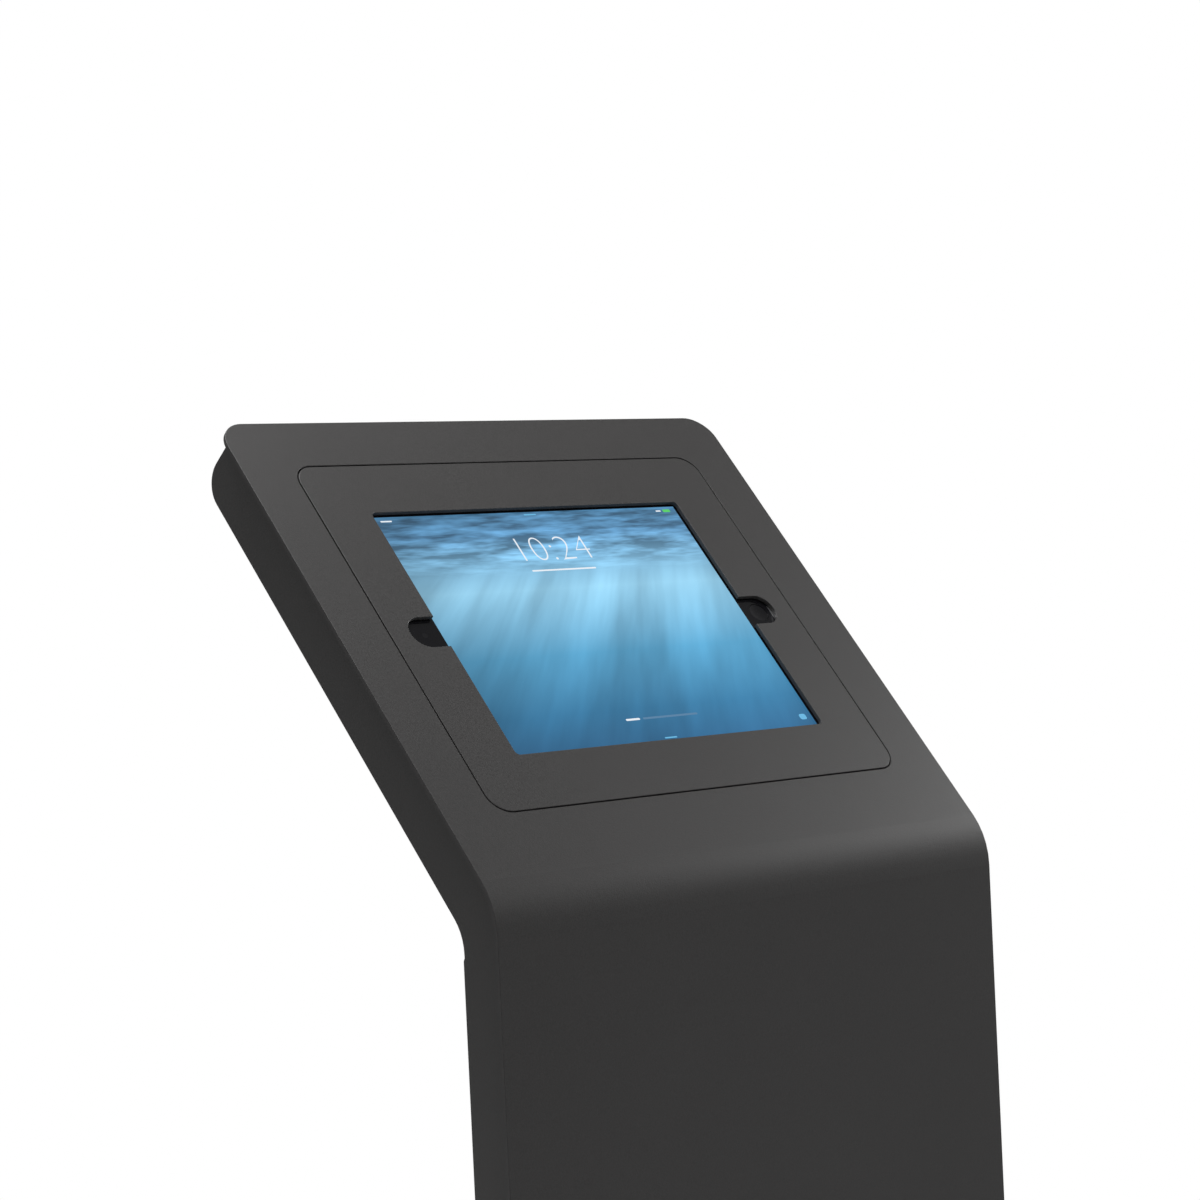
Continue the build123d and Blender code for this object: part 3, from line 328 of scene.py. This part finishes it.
def glow(name, color, strength):
    """A lit surface with a barely uneven colour."""
    finish = Finish(name, Base_Color=(0, 0, 0, 1), Roughness=0.2)
    shimmer = finish.noise(900.0, 1.0)
    darker = tuple(channel * 0.94 for channel in color)
    finish.set("Emission Color", finish.ramp(shimmer, [(0.3, darker), (0.7, color)]))
    finish.shader.inputs["Emission Strength"].default_value = strength
    return finish.material


CHARCOAL = (0.0235, 0.0226, 0.0224)
CHARCOAL_LIGHT = (0.0375, 0.0362, 0.0358)
MATERIALS = {
    "powder_coat": powder_coat("powder_coat", CHARCOAL, CHARCOAL_LIGHT),
    "insert_coat": powder_coat("insert_coat", CHARCOAL, CHARCOAL_LIGHT),
    "base_coat": powder_coat("base_coat", CHARCOAL, CHARCOAL_LIGHT, grain=1700.0, depth=0.00005),
    "zinc_steel": zinc_plate("zinc_steel"),
    "stainless": brushed_metal("stainless", (0.66, 0.66, 0.67), 0.2, 0.34, (0.05, 1, 1)),
    "lock_chrome": brushed_metal("lock_chrome", (0.72, 0.72, 0.74), 0.06, 0.14, (1, 1, 0.1)),
    "cover_glass": screen_glass("cover_glass"),
    "display": glow("display", (0.1, 0.28, 0.45), 0.5),
    "tablet_aluminium": blasted_aluminium("tablet_aluminium"),
    "button_black": glossy_black("button_black", 0.16).material,
    "black_plastic": plastic("black_plastic", (0.014, 0.014, 0.015), (0.028, 0.028, 0.03), 0.45, 0.62),
    "foam": foam("foam"),
    "rubber": plastic("rubber", (0.012, 0.012, 0.012), (0.022, 0.022, 0.022), 0.62, 0.8, 700.0, 0.00006),
    "circuit_board": circuit_board("circuit_board"),
    "battery_foil": battery_foil("battery_foil"),
    "lens_glass": glossy_black("lens_glass", 0.02, 0.5).material,
}
for part in frame["record"]["subparts"]:
    body = nodes[part["node"]].data
    body.materials.clear()
    body.materials.append(MATERIALS[part["material_slot"]])


# ---------------------------------------------------------------- marks on the display
MARK_LIFT = 0.03 * MM
CORNER_STEPS = 6
DIGIT_SHARE = 0.7       # height of a digit, as a share of the font's size
THINNING = -0.040       # offset of the outline, as a share of a digit's height
CLOCK_HEIGHT, CLOCK_DROP = 16.5 * MM, 24.5 * MM                        # drop: below the top edge
DATE_HALF_LENGTH, DATE_DROP, DATE_THICK = 21 * MM, 39.4 * MM, 1.0 * MM
STATUS_MARGIN, STATUS_DROP, STATUS_THICK = 4 * MM, 3.2 * MM, 0.9 * MM  # margin: from a short edge
STATUS_LENGTH = 7 * MM
SIGNAL_BACK, SIGNAL_LENGTH = 10 * MM, 3.5 * MM                         # back: left of the margin
CHARGE_LENGTH, CHARGE_LOW, CHARGE_HIGH, CHARGE_CORNER = 5 * MM, -0.5 * MM, 1.4 * MM, 0.4 * MM
HINT_RISE, HINT_THICK = 14 * MM, 1.2 * MM                              # rise: above the lower edge
HINT_WHITE, HINT_FAINT = (-21 * MM, -12 * MM), (-10 * MM, 26 * MM)     # left and right ends
HANDLE_HALF_LENGTH, HANDLE_EDGE, HANDLE_THICK = 4 * MM, 1.4 * MM, 0.8 * MM
ICON_WIDTH, ICON_HEIGHT, ICON_RISE, ICON_CORNER = 4.5 * MM, 3.5 * MM, 4.5 * MM, 1.2 * MM
MARK_WHITE = glow("mark_white", (0.88, 0.94, 1.0), 0.95)
MARK_GREEN = glow("mark_green", (0.12, 0.72, 0.16), 0.9)
MARK_BLUE = glow("mark_blue", (0.16, 0.52, 0.82), 0.95)
MARK_FAINT = glow("mark_faint", (0.11, 0.24, 0.40), 0.95)


def from_face(points):
    """Corners on the glass as vectors, from (across, up) pairs."""
    return [on_glass(across, up, MARK_LIFT) for across, up in points]


def finished(mesh, name, material):
    """The mesh as a named piece that rides on the frame."""
    piece = bpy.data.objects.new(name, mesh)
    scene.collection.objects.link(piece)
    mesh.materials.append(material)
    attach(piece, "frame")
    return piece


def flat_shapes(name, outlines, material):
    """Thin flat shapes on the glass."""
    shape = bmesh.new()
    for outline in outlines:
        shape.faces.new([shape.verts.new(point) for point in from_face(outline)])
    mesh = bpy.data.meshes.new(name)
    shape.to_mesh(mesh)
    shape.free()
    return finished(mesh, name, material)


def bar(left, right, low, high, corner):
    """Outline of a bar with round corners."""
    outline = []
    centres = [(right, low, -1), (right, high, 0), (left, high, 1), (left, low, 2)]
    for x, y, quarter in centres:
        x += corner if x == left else -corner
        y += corner if y == low else -corner
        for step in range(CORNER_STEPS + 1):
            angle = (quarter + step / CORNER_STEPS) * math.pi / 2
            outline.append((x + corner * math.cos(angle), y + corner * math.sin(angle)))
    return outline


def line(left, right, low, thick):
    """Outline of a bar with round ends."""
    return bar(left, right, low, low + thick, thick / 2)


def clock(text, height, middle_up):
    """Clock digits in a thin weight, as a mesh on the glass."""
    curve = bpy.data.curves.new("clock_text", "FONT")
    curve.body = text
    curve.size = height / DIGIT_SHARE
    curve.align_x = "CENTER"
    curve.offset = THINNING * height
    holder = bpy.data.objects.new("clock_text", curve)
    scene.collection.objects.link(holder)
    bpy.context.view_layer.update()
    evaluated = holder.evaluated_get(bpy.context.evaluated_depsgraph_get())
    mesh = bpy.data.meshes.new_from_object(evaluated)
    bpy.data.objects.remove(holder)
    axes = Matrix((ACROSS, FACE_UP, FACE_NORMAL)).transposed().to_4x4()
    place = on_glass(0, middle_up - height / 2, MARK_LIFT)
    mesh.transform(Matrix.Translation(place) @ axes)
    mesh.materials.clear()
    return finished(mesh, "display_clock", MARK_WHITE)


display_right = display_half_width - STATUS_MARGIN
status_low = display_half_height - STATUS_DROP
hint_low = HINT_RISE - display_half_height
icon_low = ICON_RISE - display_half_height

clock("10:24", CLOCK_HEIGHT, display_half_height - CLOCK_DROP)
white_lines = [
    line(-DATE_HALF_LENGTH, DATE_HALF_LENGTH, display_half_height - DATE_DROP, DATE_THICK),
    line(-display_right, -display_right + STATUS_LENGTH, status_low, STATUS_THICK),
    line(display_right - SIGNAL_BACK, display_right - SIGNAL_BACK + SIGNAL_LENGTH, status_low, STATUS_THICK),
    line(*HINT_WHITE, hint_low, HINT_THICK),
]
flat_shapes("display_marks", white_lines, MARK_WHITE)
flat_shapes("display_faint_mark", [line(*HINT_FAINT, hint_low, HINT_THICK)], MARK_FAINT)
upper_handle_low = display_half_height - HANDLE_EDGE - HANDLE_THICK
lower_handle_low = HANDLE_EDGE - display_half_height
handles = [
    line(-HANDLE_HALF_LENGTH, HANDLE_HALF_LENGTH, upper_handle_low, HANDLE_THICK),
    line(-HANDLE_HALF_LENGTH, HANDLE_HALF_LENGTH, lower_handle_low, HANDLE_THICK),
    bar(display_right - ICON_WIDTH, display_right, icon_low, icon_low + ICON_HEIGHT, ICON_CORNER),
]
flat_shapes("display_handles", handles, MARK_BLUE)
charge_low, charge_high = status_low + CHARGE_LOW, status_low + CHARGE_HIGH
charge = bar(display_right - CHARGE_LENGTH, display_right, charge_low, charge_high, CHARGE_CORNER)
flat_shapes("display_charge", [charge], MARK_GREEN)


# ---------------------------------------------------------------- floor, light and camera
FLOOR_RADIUS = 2.6
FLOOR_SEGMENTS = 96
FLOOR_DROP = 0.5 * MM          # keeps it clear of the base plate's underside
FLOOR_GLOW = 0.05              # at the kiosk; it rises to full white near the rim
FLOOR_RIM = 0.3                # width of the full white rim
SOFTBOX = Vector((-0.40, -0.60, 0.69)).normalized()     # towards its middle
SOFTBOX_LIGHT = 2.3
SOFTBOX_OUTER = math.radians(32)
SOFTBOX_INNER = math.radians(12)
ROOM_BRIGHT = Vector((0.72, 0.69, 0.0)).normalized()    # towards the brightest wall
ROOM_FRONT = 0.10
ROOM_BACK = 0.52
ROOM_TOP = 0.35                # share of a wall's light that is left overhead
ROOM_TURN = 0.9                # how far round the room the light changes from front to back
ROOM_LOW, ROOM_HIGH = 0.05, 0.75    # heights of a direction where the dimming starts and ends
PANEL_LIGHTS = [               # name, offset from the glass's middle, watts, size
    ("key_light", Vector((1.00, -0.15, 0.25)), 4.8, 0.3),
    ("top_light", Vector((-0.10, 0.15, 0.90)), 9.6, 0.4),
]
CAMERA_OFFSET = Vector((-1.0698, -1.1893, 0.1235))      # from the glass's middle
CAMERA_YAW = math.radians(-42.0)                        # to the right of straight ahead
CAMERA_PITCH = math.radians(-3.99)
CAMERA_LENS = 98.14
SENSOR_WIDTH = 36
VIEW_END = 200


def floor():
    """Pale round floor that fades to the white of the studio at its rim."""
    shape = bmesh.new()
    bmesh.ops.create_circle(shape, cap_ends=True, segments=FLOOR_SEGMENTS, radius=FLOOR_RADIUS)
    mesh = bpy.data.meshes.new("floor")
    shape.to_mesh(mesh)
    shape.free()
    plane = bpy.data.objects.new("floor", mesh)
    plane.location.z = -FLOOR_DROP
    scene.collection.objects.link(plane)
    finish = Finish("floor", Roughness=0.55)
    tone = finish.noise(3.0, 4.0)
    dark, light = (0.84, 0.84, 0.84), (0.86, 0.86, 0.86)
    finish.set("Base Color", finish.ramp(tone, [(0.3, dark), (0.7, light)]))
    away = finish.node("VectorMath", {0: finish.coords}, operation="LENGTH").outputs["Value"]
    glowing = finish.spread(away, FLOOR_GLOW, 1.0, 1.0, FLOOR_RADIUS - FLOOR_RIM)
    finish.set("Emission Strength", glowing)
    finish.shader.inputs["Emission Color"].default_value = (1, 1, 1, 1)
    mesh.materials.append(finish.material)


def panel_light(name, offset, energy, size):
    """A small softbox near the head, aimed at it, so that its light falls off over the kiosk."""
    data = bpy.data.lights.new(name, "AREA")
    data.energy = energy
    data.size = size
    light = bpy.data.objects.new(name, data)
    light.location = glass_middle + offset
    light.rotation_euler = (-offset).to_track_quat("-Z", "Y").to_euler()
    scene.collection.objects.link(light)


def studio():
    """A room, bright behind the kiosk and dim overhead, with one large softbox high in front.

    The camera sees plain white in its place.
    """
    world = bpy.data.worlds.new("studio")
    scene.world = world
    world.use_nodes = True
    tree = world.node_tree

    def node(kind, inputs, **settings):
        return add_node(tree, kind, inputs, **settings)

    def share(value, start, end, low, high):
        inputs = {"Value": value, "From Min": start, "From Max": end, "To Min": low, "To Max": high}
        return node("MapRange", inputs, interpolation_type="SMOOTHSTEP").outputs[0]

    direction = tree.nodes.new("ShaderNodeTexCoord").outputs["Generated"]
    height = node("SeparateXYZ", {"Vector": direction}).outputs["Z"]
    toward_box = node("VectorMath", {0: direction, 1: SOFTBOX}, operation="DOT_PRODUCT").outputs["Value"]
    backward = node("VectorMath", {0: direction, 1: ROOM_BRIGHT}, operation="DOT_PRODUCT").outputs["Value"]
    walls = share(backward, -ROOM_TURN, ROOM_TURN, ROOM_FRONT, ROOM_BACK)
    dimming = share(height, ROOM_LOW, ROOM_HIGH, 1.0, ROOM_TOP)
    room = node("Math", {0: walls, 1: dimming}, operation="MULTIPLY").outputs[0]
    box = share(toward_box, math.cos(SOFTBOX_OUTER), math.cos(SOFTBOX_INNER), 0.0, SOFTBOX_LIGHT)
    light = node("Math", {0: room, 1: box}, operation="ADD").outputs[0]
    seen = tree.nodes.new("ShaderNodeLightPath").outputs["Is Camera Ray"]
    shown = node("Mix", {"Factor": seen, 2: light, 3: 1.0}).outputs[0]
    background = tree.nodes["Background"]
    background.inputs["Color"].default_value = (1, 1, 1, 1)
    tree.links.new(shown, background.inputs["Strength"])


def camera():
    """The photograph's camera, as solved from the corners of the face, the insert and the display."""
    data = bpy.data.cameras.new("camera")
    data.lens = CAMERA_LENS
    data.sensor_width = SENSOR_WIDTH
    data.clip_end = VIEW_END
    viewer = bpy.data.objects.new("camera", data)
    viewer.location = glass_middle + CAMERA_OFFSET
    viewer.rotation_euler = (math.pi / 2 + CAMERA_PITCH, 0, CAMERA_YAW)
    scene.collection.objects.link(viewer)
    scene.camera = viewer


scene.view_settings.view_transform = "Standard"
floor()
studio()
for panel in PANEL_LIGHTS:
    panel_light(*panel)
camera()
